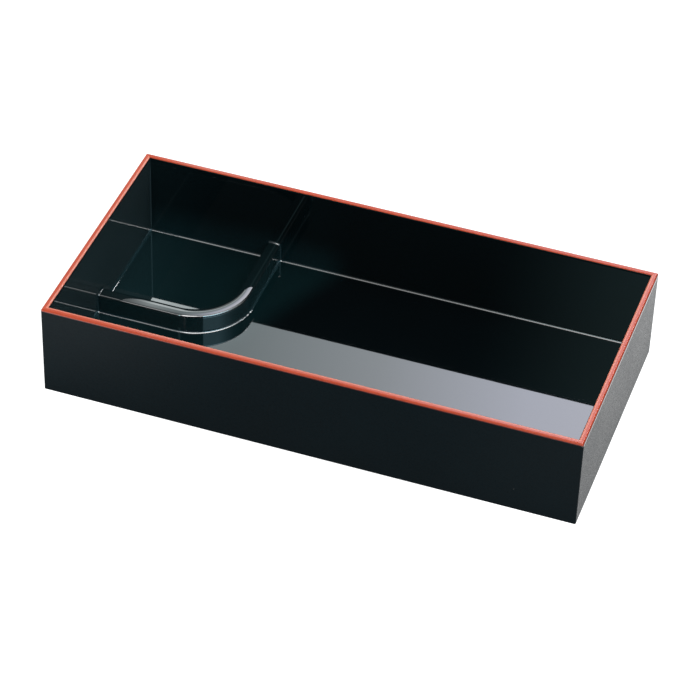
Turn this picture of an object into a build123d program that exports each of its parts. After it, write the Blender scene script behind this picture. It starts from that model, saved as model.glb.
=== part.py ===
from build123d import *
import os

# A long open bento box of lacquered boards, with a vermilion edging strip on its walls and a low
# L-shaped partition in the back left corner. Millimetres. X runs along the length to the right,
# Y from front to back, Z up. The origin is the centre of the footprint, on the table.

# Box
length = 270.0
depth = 134.5
height = 50.5
wall = 3.2
outer_arris = 0.7

# Edging strip on top of the walls
rim_height = 1.2
rim_arris = 0.9

# Bottom board, and the tongue that holds it in the walls
bottom_thickness = 3.0
foot = 1.2
tongue_thickness = 1.4
tongue_length = 1.4
groove_depth = 1.6

# Loose tongues in the mitred corners
spline_width = 2.8
spline_thickness = 0.9
spline_inset = 2.9
spline_gap_bottom = 0.8
spline_gap_top = 2.0

# Partition: the clear size of the dish compartment, and the crowned rail round it
dish_width = 64.5
dish_depth = 65.0
rail_width = 6.5
rail_height = 10.6
rail_corner_radius = 30.0
rail_crown_radius = 13.0
rail_arris = 1.0
rail_housing = 1.2
tenon_width = 2.0
tenon_length = 3.0
tenon_height = 6.0

# Concave filler beads: along the floor and the partition's ends, and up the four corners
cove_radius = 1.1
corner_cove_radius = 0.4

# Derived places
board_top = height - rim_height
floor_top = foot + bottom_thickness
inside_x = length / 2 - wall
inside_y = depth / 2 - wall
rail_top = floor_top + rail_height
rail_side_x = -inside_x + dish_width + rail_width
rail_front_y = inside_y - dish_depth - rail_width
corner_x = rail_side_x - rail_corner_radius
corner_y = rail_front_y + rail_corner_radius
tongue_bottom = foot + (bottom_thickness - tongue_thickness) / 2
cove_top = height - rim_arris


def block(low, high):
    """A box from its lowest corner to its highest corner."""
    size = [b - a for a, b in zip(low, high)]
    centre = [(a + b) / 2 for a, b in zip(low, high)]
    return Pos(*centre) * Box(*size)


def centred_block(half_x, half_y, low_z, high_z):
    """A box centred on the Z axis."""
    return block((-half_x, -half_y, low_z), (half_x, half_y, high_z))


def wall_ring():
    """All four walls in one, with rounded outer arrises and the groove for the bottom board."""
    outside = centred_block(length / 2, depth / 2, 0, board_top)
    upright = outside.edges().filter_by(Axis.Z)
    lowest = outside.edges().group_by(Axis.Z)[0]
    outside = fillet(upright + lowest, outer_arris)
    hollow = centred_block(inside_x, inside_y, 0, board_top)
    groove_x = inside_x + groove_depth
    groove_y = inside_y + groove_depth
    groove = centred_block(groove_x, groove_y, tongue_bottom, tongue_bottom + tongue_thickness)
    return outside - hollow - groove


def rim_ring():
    """All four edging strips in one, with both upper arrises rounded."""
    outside = centred_block(length / 2, depth / 2, board_top, height)
    outside = fillet(outside.edges().filter_by(Axis.Z), outer_arris)
    hollow = centred_block(inside_x, inside_y, board_top, height)
    ring = outside - hollow
    return fillet(ring.edges().group_by(Axis.Z)[-1], rim_arris)


def mitre_wedges():
    """The four wedges that share the box out to its sides, cut at 45 degrees from each corner."""
    half_x = length / 2 + wall
    half_y = depth / 2 + wall
    inner_x = half_x - half_y
    front = Polygon((-half_x, -half_y), (half_x, -half_y), (inner_x, 0), (-inner_x, 0), align=None)
    left = Polygon((-half_x, -half_y), (-inner_x, 0), (-half_x, half_y), align=None)
    wedges = {
        "front": front,
        "back": mirror(front, about=Plane.XZ),
        "left": left,
        "right": mirror(left, about=Plane.YZ),
    }
    return {side: extrude(face, height, dir=(0, 0, 1)) for side, face in wedges.items()}


def splines():
    """The loose tongue across each mitre, standing upright between the groove and the rim."""
    bottom = floor_top + spline_gap_bottom
    top = board_top - spline_gap_top
    inset = spline_inset / 2**0.5
    tongues = {}
    for front_back, sign_y in (("front", -1), ("back", 1)):
        for left_right, sign_x in (("left", -1), ("right", 1)):
            place = Pos(sign_x * (length / 2 - inset), sign_y * (depth / 2 - inset), (bottom + top) / 2)
            turn = Rotation(0, 0, -45 * sign_x * sign_y)
            tongue = place * turn * Box(spline_width, spline_thickness, top - bottom)
            tongues[f"spline_{front_back}_{left_right}"] = tongue
    return tongues


def bottom_board():
    """The floor, with the tongue round its edge."""
    panel = centred_block(inside_x, inside_y, foot, floor_top)
    tongue_x = inside_x + tongue_length
    tongue_y = inside_y + tongue_length
    tongue = centred_block(tongue_x, tongue_y, tongue_bottom, tongue_bottom + tongue_thickness)
    return panel + tongue


def rounded_quarter(low_x, high_y, high_x, low_y, radius):
    """A rectangle with its front right corner rounded."""
    plan = Polygon((low_x, low_y), (high_x, low_y), (high_x, high_y), (low_x, high_y), align=None)
    corner = plan.vertices().sort_by_distance((high_x, low_y))[0]
    return fillet(corner, radius)


def rail_section():
    """The partition's cross-section, standing on the origin: straight sides and a crowned top."""
    sides = Pos(0, rail_height / 2) * Rectangle(rail_width, rail_height)
    crown = Pos(0, rail_height - rail_crown_radius) * Circle(rail_crown_radius)
    section = sides & crown
    return fillet(section.vertices().group_by(Axis.Y)[-1], rail_arris)


def rail_bend():
    """The quarter turn of the partition."""
    middle = corner_y - rail_corner_radius + rail_width / 2
    section = Plane((corner_x, middle, floor_top), x_dir=(0, -1, 0), z_dir=(-1, 0, 0)) * rail_section()
    return revolve(section, Axis((corner_x, corner_y, floor_top), (0, 0, 1)), 90)


def front_rail(end_x):
    """The straight rail from the bend to a place at or in the left wall."""
    middle = rail_front_y + rail_width / 2
    section = Plane((corner_x, middle, floor_top), x_dir=(0, -1, 0), z_dir=(-1, 0, 0)) * rail_section()
    return extrude(section, corner_x - end_x, dir=(-1, 0, 0))


def side_rail(end_y):
    """The straight rail from the bend to a place at or in the back wall."""
    middle = rail_side_x - rail_width / 2
    section = Plane((middle, corner_y, floor_top), x_dir=(-1, 0, 0), z_dir=(0, 1, 0)) * rail_section()
    return extrude(section, end_y - corner_y, dir=(0, 1, 0))


def tenon(centre_x, centre_y, along_x):
    """The stub tenon that joins a straight rail to the bent piece."""
    half_x = tenon_length if along_x else tenon_width / 2
    half_y = tenon_width / 2 if along_x else tenon_length
    low = (centre_x - half_x, centre_y - half_y, floor_top)
    high = (centre_x + half_x, centre_y + half_y, floor_top + tenon_height)
    return block(low, high)


def partition():
    """The two straight rails and the bent piece between them."""
    front_tenon = tenon(corner_x, rail_front_y + rail_width / 2, True)
    side_tenon = tenon(rail_side_x - rail_width / 2, corner_y, False)
    return {
        "partition_front": front_rail(-inside_x - rail_housing) + front_tenon,
        "partition_corner": rail_bend() - front_tenon - side_tenon,
        "partition_side": side_rail(inside_y + rail_housing) + side_tenon,
    }


def corner_coves():
    """The thin filler bead up each of the four corners of the walls."""
    beads = {}
    for front_back, sign_y in (("front", -1), ("back", 1)):
        for left_right, sign_x in (("left", -1), ("right", 1)):
            centre_x = sign_x * (inside_x - corner_cove_radius)
            centre_y = sign_y * (inside_y - corner_cove_radius)
            xs = sorted((centre_x, sign_x * inside_x))
            ys = sorted((centre_y, sign_y * inside_y))
            corner = block((xs[0], ys[0], floor_top), (xs[1], ys[1], cove_top))
            hollow = Cylinder(corner_cove_radius, cove_top - floor_top)
            hollow = Pos(centre_x, centre_y, (floor_top + cove_top) / 2) * hollow
            beads[f"cove_{front_back}_{left_right}"] = corner - hollow
    return beads


def low_coves():
    """The beads on the floor and at the partition's ends: what rounding those corners takes off."""
    space = centred_block(inside_x, inside_y, floor_top, cove_top)
    space -= front_rail(-inside_x) + rail_bend() + side_rail(inside_y)
    inside = [e for e in space.edges() if is_low_corner(e)]
    beads = space - fillet(inside, cove_radius)
    middle_x = rail_side_x - rail_width / 2
    middle_y = rail_front_y + rail_width / 2
    plan = rounded_quarter(-inside_x, inside_y, middle_x, middle_y, rail_corner_radius - rail_width / 2)
    dish = extrude(plan, cove_top, dir=(0, 0, 1))
    return {"cove_dish": beads & dish, "cove_main": beads - dish}


def is_low_corner(edge):
    """Whether an edge of the open space runs along the floor or round an end of the partition."""
    middle = edge @ 0.5
    on_wall = abs(abs(middle.X) - inside_x) < 0.01 or abs(abs(middle.Y) - inside_y) < 0.01
    return middle.Z < floor_top + 0.01 or (on_wall and middle.Z < rail_top + 0.01)


def assemble():
    """Every node of the box, by name."""
    nodes = {}
    walls = wall_ring()
    rim = rim_ring()
    for side, wedge in mitre_wedges().items():
        nodes[f"{side}_board"] = walls & wedge
        nodes[f"rim_{side}"] = rim & wedge
    for name, tongue in splines().items():
        nodes[name] = tongue
        for side in ("front", "back", "left", "right"):
            nodes[f"{side}_board"] -= tongue
    nodes["bottom_board"] = bottom_board()
    for name, rail in partition().items():
        nodes[name] = rail
        nodes["left_board"] -= rail
        nodes["back_board"] -= rail
    low = low_coves()
    nodes.update(low)
    for name, bead in corner_coves().items():
        nodes[name] = bead - low["cove_main"] - low["cove_dish"]
    return nodes


os.makedirs("parts", exist_ok=True)
for name, shape in assemble().items():
    shape.label = name
    export_step(shape, f"parts/{name}.step")
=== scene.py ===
import math

import bpy
from mathutils import Matrix, Vector


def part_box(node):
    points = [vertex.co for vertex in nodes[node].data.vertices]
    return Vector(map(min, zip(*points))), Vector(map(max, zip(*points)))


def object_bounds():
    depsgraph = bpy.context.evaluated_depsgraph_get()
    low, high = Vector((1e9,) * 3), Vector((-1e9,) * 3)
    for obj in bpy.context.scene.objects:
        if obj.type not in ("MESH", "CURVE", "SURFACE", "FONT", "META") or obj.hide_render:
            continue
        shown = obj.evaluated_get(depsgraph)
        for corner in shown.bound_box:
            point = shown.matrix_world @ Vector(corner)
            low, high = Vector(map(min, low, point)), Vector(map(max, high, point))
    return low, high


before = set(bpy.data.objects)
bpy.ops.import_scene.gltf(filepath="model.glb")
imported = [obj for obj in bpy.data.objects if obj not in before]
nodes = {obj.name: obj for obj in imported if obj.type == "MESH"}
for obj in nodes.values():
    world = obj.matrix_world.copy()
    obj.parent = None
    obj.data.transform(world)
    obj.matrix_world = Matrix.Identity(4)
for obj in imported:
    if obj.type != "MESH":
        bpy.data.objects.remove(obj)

cad_low, cad_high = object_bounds()

# ---------------------------------------------------------------- places, from the frame
MM = 0.001
half_length = cad_high.x
half_depth = cad_high.y
rim_top = cad_high.z
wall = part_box("left_board")[1].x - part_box("left_board")[0].x
rim_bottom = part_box("rim_front")[0].z
floor_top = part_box("bottom_board")[1].z
panel_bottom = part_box("bottom_board")[0].z
rail_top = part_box("partition_corner")[1].z
inside_x = half_length - wall
inside_y = half_depth - wall

# ---------------------------------------------------------------- where the finishes change
# The polished line under the right vermilion strip
GLOSS_LINE_HEIGHT = 0.35 * MM
# The painted light: where the lighter black painted at the left end, on the back left corner and the floor,
# has faded out, and the lean, the slope and the height of the painted glow added low down round the dish
# compartment
PAINTED_LIGHT_FADE_END = -90 * MM
PAINTED_GLOW_LEAN = 0.44
PAINTED_GLOW_SLOPE = (-48 * MM, -68 * MM)
PAINTED_GLOW_HEIGHT = 22 * MM
# The vermilion strips: where their inner half starts, from the outside, and the black on their inner side.
# The inner half carries a painted highlight.
INNER_HALF_FROM = 1.9 * MM
INNER_BLACK = 0.28 * MM

# ---------------------------------------------------------------- colours
SATIN_BLACK = (0.0007, 0.0033, 0.0046)
GLOSS_BLACK = (0.0013, 0.0038, 0.0046)
FLOOR_BLACK = (0.0005, 0.0014, 0.0018)
# painted light: the floor's lighter black at its left end, in the dish compartment, fading out to the right
PAINTED_LIT_DISH_BLACK = (0.0027, 0.0056, 0.0066)
# painted light: the walls' lighter black at the back left corner, fading out to the right
PAINTED_LIT_CORNER_BLACK = (0.0032, 0.0085, 0.0100)
# painted light: the lighter black of the whole left wall
PAINTED_LIT_LEFT_WALL_BLACK = (0.0185, 0.028, 0.030)
# painted light: the rail's sides in a lighter black than its top
PAINTED_LIT_RAIL_BLACK = (0.0085, 0.0210, 0.0230)
RAIL_TOP_BLACK = (0.0020, 0.0055, 0.0062)
# painted light: lighter glows added low down round the dish compartment, on the floor and on the walls and
# coves
FLOOR_PAINTED_GLOW = (0.0009, 0.0046, 0.0050)
WALL_PAINTED_GLOW = (0.0035, 0.0120, 0.0140)
DUST = (0.16, 0.16, 0.15)
VERMILION = (0.272, 0.037, 0.014)
VERMILION_CLOUD = (0.232, 0.028, 0.010)
# painted highlight: the paler inner half of the vermilion strips
VERMILION_PAINTED_HIGHLIGHT = (0.330, 0.092, 0.058)
# painted shade: the darker red low down on the strips' outer side
VERMILION_PAINTED_SHADE = (0.055, 0.002, 0.002)
WOOD_DARK = (0.42, 0.27, 0.14)
WOOD_PALE = (0.66, 0.48, 0.29)

# ---------------------------------------------------------------- light
# The white tent's radiance is 1 below the first sine of elevation and the last number above the second.
TENT_SHADE = (0.25, 0.45, 0.25)

# Lamps, in the terms of light_tent(): (place, radiance) from one side to the other, where the place is
# across for the first two and to_right for the last, and then the slopes on both sides of the strip
BACK_LAMP = (
    (-0.306, (0, 0, 0)),
    (-0.299, (2.4, 2.75, 2.8)),
    (-0.27, (2.1, 2.5, 2.6)),
    (-0.223, (3.7, 4.0, 4.3)),
    (-0.174, (6.05, 6.3, 7.3)),
    (-0.10, (7.6, 7.7, 8.6)),
    (-0.03, (9, 9, 9.5)),
    (-0.025, (36, 36, 37)),
    (0.025, (36, 36, 37)),
    (0.035, (0, 0, 0)),
)
BACK_LAMP_ROUND = (27, 31, 54, 66)
OVERHEAD_LAMP = (
    (-0.60, (0, 0, 0)),
    (-0.33, (0.8, 0.8, 0.8)),
    (-0.30, (2.8, 2.8, 2.8)),
    (-0.25, (1.6, 1.6, 1.6)),
    (-0.20, (1.8, 1.8, 1.8)),
    (-0.14, (3.8, 3.8, 3.8)),
    (-0.08, (12, 12, 12)),
    (0.35, (12, 12, 12)),
    (0.48, (8, 8, 8)),
    (0.60, (0, 0, 0)),
)
OVERHEAD_LAMP_ROUND = (84, 92, 112, 130)
OVERHEAD_LAMP_BEND = 60
RIGHT_LAMP = (
    (34.5, (0, 0, 0)),
    (36.5, (4.6, 8.2, 9.8)),
    (66, (4.5, 8.0, 9.6)),
    (84, (2.0, 3.6, 4.4)),
    (100, (0.5, 1.0, 1.2)),
    (120, (0, 0, 0)),
)
RIGHT_LAMP_UP = (0.58, 0.60, 0.70, 0.73)

# Soft patches: the slopes round, the slopes across, and the radiance
BACK_LEFT_PATCH = ((30, 34, 58, 70), (-0.75, -0.5, -0.30, -0.29), (1.235, 1.3, 1.3))
LOW_LEFT_PATCH = ((27, 31, 41.3, 42.2), (-0.305, -0.295, -0.285, -0.265), (3.8, 4, 4))
FRONT_PATCH = ((130, 134, 144, 148), (-0.20, -0.13, -0.128, -0.115), (2.4, 4.32, 4.56))

# The table, its glow, and its lighter places: the slopes along X, the slopes along Y, and how much more
TABLE_HALF_SIZE = 6.0
TABLE_GREY = (0.12, 0.12, 0.12)
TABLE_GLOW = 1.1
TABLE_PATCHES = (
    ((-2, -1, -0.15, -0.05), (-2, -1, -0.14, -0.05), 3.2),
    ((0.04, 0.13, 0.4, 0.5), (-2, -1, -0.12, -0.04), 0.9),
    ((0.125, 0.15, 0.5, 0.6), (-0.12, 0.16, 0.5, 0.6), 0.8),
)


# ---------------------------------------------------------------- node helpers
def new_material(name):
    """An empty node material with a shader on its output."""
    mat = bpy.data.materials.new(name)
    mat.use_nodes = True
    tree = mat.node_tree
    tree.nodes.clear()
    out = tree.nodes.new("ShaderNodeOutputMaterial")
    shader = tree.nodes.new("ShaderNodeBsdfPrincipled")
    tree.links.new(shader.outputs[0], out.inputs[0])
    return mat, tree, shader


def plug(tree, value, socket):
    """Puts a value into a socket; the value is another socket, a number or a colour."""
    if isinstance(value, bpy.types.NodeSocket):
        tree.links.new(value, socket)
    elif isinstance(value, (tuple, list)):
        socket.default_value = (*value, 1)
    else:
        socket.default_value = value


def math_node(tree, operation, a, b=None):
    """A Math node; a and b are sockets or numbers."""
    node = tree.nodes.new("ShaderNodeMath")
    node.operation = operation
    plug(tree, a, node.inputs[0])
    if b is not None:
        plug(tree, b, node.inputs[1])
    return node.outputs[0]


def noise(tree, vector, scale, detail, roughness=0.5):
    """A Noise Texture's value."""
    node = tree.nodes.new("ShaderNodeTexNoise")
    node.inputs["Scale"].default_value = scale
    node.inputs["Detail"].default_value = detail
    node.inputs["Roughness"].default_value = roughness
    tree.links.new(vector, node.inputs["Vector"])
    return node.outputs["Fac"]


def specks(tree, vector, spacing, radius, lacking):
    """1 in small round specks, at most one in each cell of this spacing; lacking is the share of the
    cells that have none."""
    cells = tree.nodes.new("ShaderNodeTexVoronoi")
    cells.inputs["Scale"].default_value = 1 / spacing
    tree.links.new(vector, cells.inputs["Vector"])
    near = math_node(tree, "LESS_THAN", cells.outputs["Distance"], radius / spacing)
    split = tree.nodes.new("ShaderNodeSeparateColor")
    tree.links.new(cells.outputs["Color"], split.inputs[0])
    few = math_node(tree, "GREATER_THAN", split.outputs[0], lacking)
    return math_node(tree, "MULTIPLY", near, few)


def ramp(tree, value, low, high):
    """value, mapped from 0..1 to low..high."""
    node = tree.nodes.new("ShaderNodeMapRange")
    tree.links.new(value, node.inputs["Value"])
    node.inputs["To Min"].default_value = low
    node.inputs["To Max"].default_value = high
    return node.outputs[0]


def slope(tree, value, none, full):
    """0 at none and beyond, 1 at full and beyond, and smooth between."""
    node = tree.nodes.new("ShaderNodeMapRange")
    node.interpolation_type = "SMOOTHSTEP"
    tree.links.new(value, node.inputs["Value"])
    node.inputs["From Min"].default_value = none
    node.inputs["From Max"].default_value = full
    return node.outputs[0]


def window(tree, value, rise_from, rise_to, fall_from, fall_to):
    """1 between rise_to and fall_from, with a smooth slope on each side."""
    rise = slope(tree, value, rise_from, rise_to)
    return math_node(tree, "MULTIPLY", rise, slope(tree, value, fall_to, fall_from))


def mix(tree, factor, a, b, kind, blend="MIX"):
    """A value between a and b, or a with that share of b added. kind is the sockets' type."""
    node = tree.nodes.new("ShaderNodeMix")
    if kind == "RGBA":
        node.data_type = "RGBA"
        node.blend_type = blend
    tree.links.new(factor, node.inputs["Factor"])
    for name, value in (("A", a), ("B", b)):
        plug(tree, value, [s for s in node.inputs if s.name == name and s.type == kind][0])
    return [s for s in node.outputs if s.type == kind][0]


def mix_colour(tree, factor, a, b, blend="MIX"):
    """mix() for colours."""
    return mix(tree, factor, a, b, "RGBA", blend)


def mix_number(tree, factor, a, b):
    """mix() for numbers."""
    return mix(tree, factor, a, b, "VALUE")


def bump(tree, height, distance):
    """A Bump node's normal, for a height of 0..1 over this distance."""
    node = tree.nodes.new("ShaderNodeBump")
    node.inputs["Distance"].default_value = distance
    tree.links.new(height, node.inputs["Height"])
    return node.outputs[0]


def object_position(tree):
    """Object coordinates, and their X, Y and Z."""
    coords = tree.nodes.new("ShaderNodeTexCoord")
    split = tree.nodes.new("ShaderNodeSeparateXYZ")
    tree.links.new(coords.outputs["Object"], split.inputs[0])
    return coords.outputs["Object"], split.outputs


def inside_box(tree, xyz, half_x, half_y, low_z):
    """1 inside a box centred on the Z axis, from low_z up."""
    in_x = math_node(tree, "LESS_THAN", math_node(tree, "ABSOLUTE", xyz["X"]), half_x)
    in_y = math_node(tree, "LESS_THAN", math_node(tree, "ABSOLUTE", xyz["Y"]), half_y)
    above = math_node(tree, "GREATER_THAN", xyz["Z"], low_z)
    return math_node(tree, "MULTIPLY", math_node(tree, "MULTIPLY", in_x, in_y), above)


# ---------------------------------------------------------------- materials
def gloss_area(tree, xyz, low_z, all_gloss):
    """1 where the lacquer is mirror gloss: inside the walls above low_z, or everywhere above it, and on the
    narrow line under the right vermilion strip."""
    middle_x = 2 * half_length if all_gloss else half_length - wall / 2
    middle_y = 2 * half_depth if all_gloss else half_depth - wall / 2
    inside = inside_box(tree, xyz, middle_x, middle_y, low_z)
    line_bottom = rim_bottom - GLOSS_LINE_HEIGHT
    line = slope(tree, xyz["Z"], line_bottom, line_bottom + 0.05 * MM)
    on_right = math_node(tree, "GREATER_THAN", xyz["X"], half_length - 1 * MM)
    return math_node(tree, "MAXIMUM", inside, math_node(tree, "MULTIPLY", line, on_right))


def gloss_black(tree, xyz, blacks, by_height, painted_glow):
    """The black under the gloss, with black_lacquer's arguments, lighter where light is painted into it."""
    painted_lit_black, clear = blacks
    # painted light: the first black is lighter, below by_height or at the left end, fading into the second
    if by_height:
        share = slope(tree, xyz["Z"], by_height + 0.2 * MM, by_height - 0.2 * MM)
    else:
        share = slope(tree, xyz["X"], PAINTED_LIGHT_FADE_END, -inside_x)
    black = mix_colour(tree, share, clear, painted_lit_black)
    if not painted_glow:
        return black
    # painted glow, added low down round the dish compartment
    slanted_x = math_node(tree, "SUBTRACT", xyz["X"], math_node(tree, "MULTIPLY", xyz["Y"], PAINTED_GLOW_LEAN))
    to_left = slope(tree, slanted_x, *PAINTED_GLOW_SLOPE)
    low_down = slope(tree, xyz["Z"], floor_top + PAINTED_GLOW_HEIGHT, floor_top)
    return mix_colour(tree, math_node(tree, "MULTIPLY", to_left, low_down), black, painted_glow, "ADD")


def gloss_share(tree, xyz, ranges, elsewhere):
    """The share of the gloss at each height: ranges are (low, high, share)."""
    share = elsewhere
    for low, high, there in ranges:
        spot = window(tree, xyz["Z"], low - 0.1 * MM, low, high, high + 0.1 * MM)
        share = math_node(tree, "ADD", math_node(tree, "MULTIPLY", spot, there - elsewhere), share)
    return share


def black_lacquer(name, low_z, blacks=(GLOSS_BLACK, GLOSS_BLACK), all_gloss=False, gloss_ior=1.5,
                  gloss_roughness=0.015, shares=None, by_height=None, painted_glow=None):
    """Black lacquer: satin with a fine grain outside, mirror gloss inside. blacks are the gloss black at
    the left end, lighter there as painted light, and elsewhere; or below and above by_height, lighter below
    as painted light. shares are gloss_share's arguments. painted_glow is a lighter colour added low down
    round the dish compartment as painted light."""
    mat, tree, shader = new_material(name)
    vector, xyz = object_position(tree)
    gloss = gloss_area(tree, xyz, low_z, all_gloss)

    cloud = noise(tree, vector, 28, 3)
    satin = mix_colour(tree, cloud, [c * 0.8 for c in SATIN_BLACK], [c * 1.2 for c in SATIN_BLACK])
    inner = gloss_black(tree, xyz, blacks, by_height, painted_glow)
    inner = mix_colour(tree, ramp(tree, cloud, 0.0, 0.3), inner, (0, 0, 0))
    black = mix_colour(tree, gloss, satin, inner)
    dust = specks(tree, vector, spacing=13 * MM, radius=0.17 * MM, lacking=0.8)
    dust = math_node(tree, "MULTIPLY", dust, 0.5)
    plug(tree, mix_colour(tree, dust, black, DUST), shader.inputs["Base Color"])

    grain = noise(tree, vector, 750, 5, 0.75)
    satin_roughness = math_node(tree, "ADD", ramp(tree, cloud, 0.27, 0.33), ramp(tree, grain, -0.16, 0.16))
    plug(tree, mix_number(tree, gloss, satin_roughness, 0.06), shader.inputs["Roughness"])
    shader.inputs["IOR"].default_value = 1.10
    satin_height = math_node(tree, "MULTIPLY", grain, math_node(tree, "SUBTRACT", 1.0, gloss))
    plug(tree, bump(tree, satin_height, 0.10 * MM), shader.inputs["Normal"])

    clean = math_node(tree, "SUBTRACT", 1.0, dust)
    if shares:
        clean = math_node(tree, "MULTIPLY", clean, gloss_share(tree, xyz, *shares))
    plug(tree, math_node(tree, "MULTIPLY", gloss, clean), shader.inputs["Coat Weight"])
    shader.inputs["Coat IOR"].default_value = gloss_ior
    shader.inputs["Coat Roughness"].default_value = gloss_roughness
    plug(tree, bump(tree, noise(tree, vector, 60, 1), 0.004 * MM), shader.inputs["Coat Normal"])
    return mat


def vermilion_lacquer(name, ior, dark_height, painted_highlight):
    """Vermilion lacquer, a little cloudy, with painted shade, a darker red, up to dark_height on the
    strip's outer side. The strip's inner side is lacquered black, and its inner half may be paler as a
    painted highlight."""
    mat, tree, shader = new_material(name)
    vector, xyz = object_position(tree)

    red = mix_colour(tree, noise(tree, vector, 90, 3), VERMILION_CLOUD, VERMILION)
    inner_half = inside_box(tree, xyz, half_length - INNER_HALF_FROM, half_depth - INNER_HALF_FROM, 0)
    outer_half = math_node(tree, "SUBTRACT", 1.0, inner_half)
    # painted shade: darker red up to dark_height on the outer side
    dark_top = rim_bottom + dark_height
    outer_shade = slope(tree, xyz["Z"], dark_top, dark_top - 0.4 * MM)
    outer_shade = math_node(tree, "MULTIPLY", outer_shade, outer_half)
    red = mix_colour(tree, outer_shade, red, VERMILION_PAINTED_SHADE)
    # painted highlight: the inner half paler
    if painted_highlight:
        red = mix_colour(tree, outer_half, VERMILION_PAINTED_HIGHLIGHT, red)
    black = inside_box(tree, xyz, inside_x + INNER_BLACK, inside_y + INNER_BLACK, 0)
    plug(tree, mix_colour(tree, black, red, GLOSS_BLACK), shader.inputs["Base Color"])

    fine = noise(tree, vector, 1800, 2)
    plug(tree, ramp(tree, fine, 0.04, 0.10), shader.inputs["Roughness"])
    shader.inputs["IOR"].default_value = ior
    plug(tree, bump(tree, fine, 0.004 * MM), shader.inputs["Normal"])
    return mat


def bare_wood(name):
    """Planed softwood with fine upright grain, for the splines inside the mitres."""
    mat, tree, shader = new_material(name)
    vector, xyz = object_position(tree)
    stretch = tree.nodes.new("ShaderNodeMapping")
    stretch.inputs["Scale"].default_value = (1, 1, 0.05)
    tree.links.new(vector, stretch.inputs["Vector"])
    grain = noise(tree, stretch.outputs[0], 2500, 4)
    plug(tree, mix_colour(tree, grain, WOOD_DARK, WOOD_PALE), shader.inputs["Base Color"])
    plug(tree, ramp(tree, grain, 0.5, 0.7), shader.inputs["Roughness"])
    plug(tree, bump(tree, grain, 0.02 * MM), shader.inputs["Normal"])
    return mat


def dress():
    """Gives each CAD node its finish."""
    # painted light: the walls lighter at the back left corner and low down round the dish compartment
    walls = black_lacquer("wall_lacquer", floor_top - 1 * MM, (PAINTED_LIT_CORNER_BLACK, GLOSS_BLACK), painted_glow=WALL_PAINTED_GLOW)
    # painted light: the whole left wall lighter
    left_wall = black_lacquer("left_wall_lacquer", floor_top - 1 * MM, (PAINTED_LIT_LEFT_WALL_BLACK, PAINTED_LIT_LEFT_WALL_BLACK))
    # painted light: the floor lighter at its left end and low down round the dish compartment
    inside = black_lacquer(
        "inside_lacquer", panel_bottom + 0.5 * MM, (PAINTED_LIT_DISH_BLACK, FLOOR_BLACK), all_gloss=True,
        painted_glow=FLOOR_PAINTED_GLOW)
    rail_arrises = (rail_top - 1.5 * MM, rail_top - 0.45 * MM, 1)
    # painted light: the rail's sides lighter than its top
    rail = black_lacquer(
        "rail_lacquer", 0, (PAINTED_LIT_RAIL_BLACK, RAIL_TOP_BLACK), all_gloss=True, gloss_ior=3.0,
        shares=([rail_arrises], 0.187), by_height=rail_top - 1.2 * MM)
    along_floor = (0, floor_top + 1.2 * MM, 1)
    at_rail_ends = (rail_top - 1 * MM, rim_top, 0.45)
    # painted light: the coves lighter low down round the dish compartment
    filler = black_lacquer(
        "filler_lacquer", 0, all_gloss=True, gloss_ior=2.0, gloss_roughness=0.12,
        shares=([along_floor, at_rail_ends], 0.2), painted_glow=WALL_PAINTED_GLOW)
    # painted highlight on the inner half of the front, left and right strips, and painted shade low on
    # every strip's outer side, deepest on the right
    red = vermilion_lacquer("rim_lacquer", ior=1.28, dark_height=0.6 * MM, painted_highlight=True)
    right_red = vermilion_lacquer("right_rim_lacquer", ior=1.24, dark_height=1.18 * MM, painted_highlight=True)
    back_red = vermilion_lacquer("back_rim_lacquer", ior=1.2, dark_height=0.6 * MM, painted_highlight=False)
    wood = bare_wood("spline_wood")
    for name, node in nodes.items():
        if name == "left_board":
            finish = left_wall
        elif name.endswith("_board") and name != "bottom_board":
            finish = walls
        elif name in ("cove_main", "cove_dish"):
            finish = filler
        elif name.startswith("partition_"):
            finish = rail
        elif name == "rim_right":
            finish = right_red
        elif name == "rim_back":
            finish = back_red
        elif name.startswith("rim_"):
            finish = red
        elif name.startswith("spline_"):
            finish = wood
        else:
            finish = inside
        for slot in node.material_slots:
            slot.material = finish


# ---------------------------------------------------------------- stage
def graded(tree, value, stops):
    """A colour that follows value through stops of (value, radiance), and the radiance that it is
    divided by."""
    first, last = stops[0][0], stops[-1][0]
    brightest = max(max(colour) for place, colour in stops)
    across = tree.nodes.new("ShaderNodeMapRange")
    tree.links.new(value, across.inputs["Value"])
    across.inputs["From Min"].default_value = first
    across.inputs["From Max"].default_value = last
    shades = tree.nodes.new("ShaderNodeValToRGB")
    while len(shades.color_ramp.elements) < len(stops):
        shades.color_ramp.elements.new(0.5)
    for element, (place, colour) in zip(shades.color_ramp.elements, stops):
        element.position = (place - first) / (last - first)
        element.color = [c / brightest for c in colour] + [1]
    tree.links.new(across.outputs[0], shades.inputs[0])
    return shades.outputs[0], brightest


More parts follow.
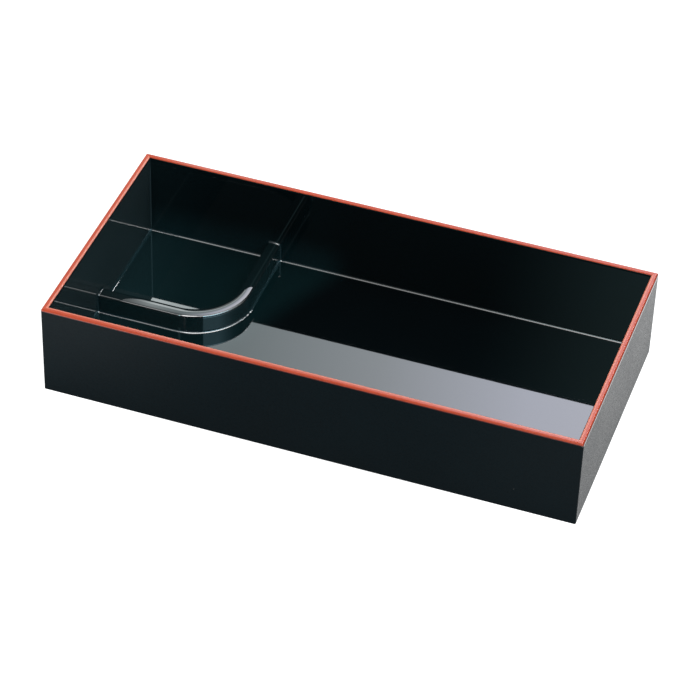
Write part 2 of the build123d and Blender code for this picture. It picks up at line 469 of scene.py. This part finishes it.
def light_tent():
    """The surround: a white tent, with soft lamps behind, over and to the right of the box and smaller
    patches behind its left end and in front. A place in it is across, the sine of its angle to the
    right, and round, its angle in degrees about the box's length: 0 behind the box, 90 overhead, 180 in
    front. The right lamp is placed by to_right instead, its direction in degrees seen from above: 0 in
    front of the box, 90 to its right."""
    world = bpy.data.worlds.new("tent")
    bpy.context.scene.world = world
    world.use_nodes = True
    tree = world.node_tree
    tree.nodes.clear()
    out = tree.nodes.new("ShaderNodeOutputWorld")
    coords = tree.nodes.new("ShaderNodeTexCoord")
    split = tree.nodes.new("ShaderNodeSeparateXYZ")
    tree.links.new(coords.outputs["Generated"], split.inputs[0])
    across, away, up = split.outputs
    round_x = math_node(tree, "DEGREES", math_node(tree, "ARCTAN2", up, away))
    ahead = math_node(tree, "MULTIPLY", away, -1)
    to_right = math_node(tree, "DEGREES", math_node(tree, "ARCTAN2", across, ahead))
    glows = []

    def glow(colour, amount):
        node = tree.nodes.new("ShaderNodeBackground")
        plug(tree, colour, node.inputs["Color"])
        tree.links.new(amount, node.inputs["Strength"])
        glows.append(node.outputs[0])

    def patch(round_slopes, across_slopes, radiance):
        area = math_node(tree, "MULTIPLY", window(tree, round_x, *round_slopes),
                         window(tree, across, *across_slopes))
        brightest = max(radiance)
        glow([c / brightest for c in radiance], math_node(tree, "MULTIPLY", area, brightest))

    def lamp(value, stops, area):
        shades, brightest = graded(tree, value, stops)
        glow(shades, math_node(tree, "MULTIPLY", area, brightest))

    shade_from, shade_to, dull = TENT_SHADE
    glow((1, 1, 1), ramp(tree, slope(tree, up, shade_from, shade_to), 1.0, dull))
    patch(*BACK_LEFT_PATCH)
    lamp(across, BACK_LAMP, window(tree, round_x, *BACK_LAMP_ROUND))
    patch(*LOW_LEFT_PATCH)
    # the overhead lamp bends back towards its right end
    bend = math_node(tree, "MULTIPLY", math_node(tree, "MAXIMUM", across, 0.0), OVERHEAD_LAMP_BEND)
    bent = math_node(tree, "ADD", round_x, bend)
    lamp(across, OVERHEAD_LAMP, window(tree, bent, *OVERHEAD_LAMP_ROUND))
    lamp(to_right, RIGHT_LAMP, window(tree, up, *RIGHT_LAMP_UP))
    patch(*FRONT_PATCH)

    total = glows[0]
    for light in glows[1:]:
        add = tree.nodes.new("ShaderNodeAddShader")
        tree.links.new(total, add.inputs[0])
        tree.links.new(light, add.inputs[1])
        total = add.outputs[0]
    tree.links.new(total, out.inputs[0])


def table():
    """The pale table, lit a little from below as a light table is."""
    mesh = bpy.data.meshes.new("floor")
    s = TABLE_HALF_SIZE
    mesh.from_pydata([(-s, -s, 0), (s, -s, 0), (s, s, 0), (-s, s, 0)], [], [(0, 1, 2, 3)])
    sheet = bpy.data.objects.new("floor", mesh)
    bpy.context.scene.collection.objects.link(sheet)
    mat, tree, shader = new_material("pale_floor")
    shader.inputs["Base Color"].default_value = (*TABLE_GREY, 1)
    shader.inputs["Roughness"].default_value = 0.9
    shader.inputs["Specular IOR Level"].default_value = 0.1
    xyz = object_position(tree)[1]
    strength = TABLE_GLOW
    for across, along, more in TABLE_PATCHES:
        spot = math_node(tree, "MULTIPLY", window(tree, xyz["X"], *across), window(tree, xyz["Y"], *along))
        strength = math_node(tree, "ADD", math_node(tree, "MULTIPLY", spot, more), strength)
    shader.inputs["Emission Color"].default_value = (1, 1, 1, 1)
    plug(tree, strength, shader.inputs["Emission Strength"])
    mesh.materials.append(mat)


def place_camera(azimuth, elevation, roll, distance, target, lens):
    """The camera, aimed at target from this side and height and turned a little about its own axis.
    Azimuth 0 is in front of the box and 90 to its right."""
    a, e, r = math.radians(azimuth), math.radians(elevation), math.radians(roll)
    back = Vector((math.sin(a) * math.cos(e), -math.cos(a) * math.cos(e), math.sin(e)))
    right = (-back).cross(Vector((0, 0, 1))).normalized()
    up = right.cross(-back)
    turned_right = math.cos(r) * right + math.sin(r) * up
    turned_up = math.cos(r) * up - math.sin(r) * right
    data = bpy.data.cameras.new("camera")
    data.sensor_width = 36
    data.lens = lens
    camera = bpy.data.objects.new("camera", data)
    bpy.context.scene.collection.objects.link(camera)
    rotation = Matrix((turned_right, turned_up, back)).transposed().to_4x4()
    camera.matrix_world = Matrix.Translation(Vector(target) + back * distance) @ rotation
    bpy.context.scene.camera = camera


# the photo's camera, fitted to the box's own corners and edges
place_camera(
    azimuth=17.84, elevation=40.26, roll=2.114, distance=1.4739,
    target=(0.00393, -0.01394, rim_top / 2), lens=156.18)
dress()
table()
light_tent()
bpy.context.scene.view_settings.view_transform = "Standard"
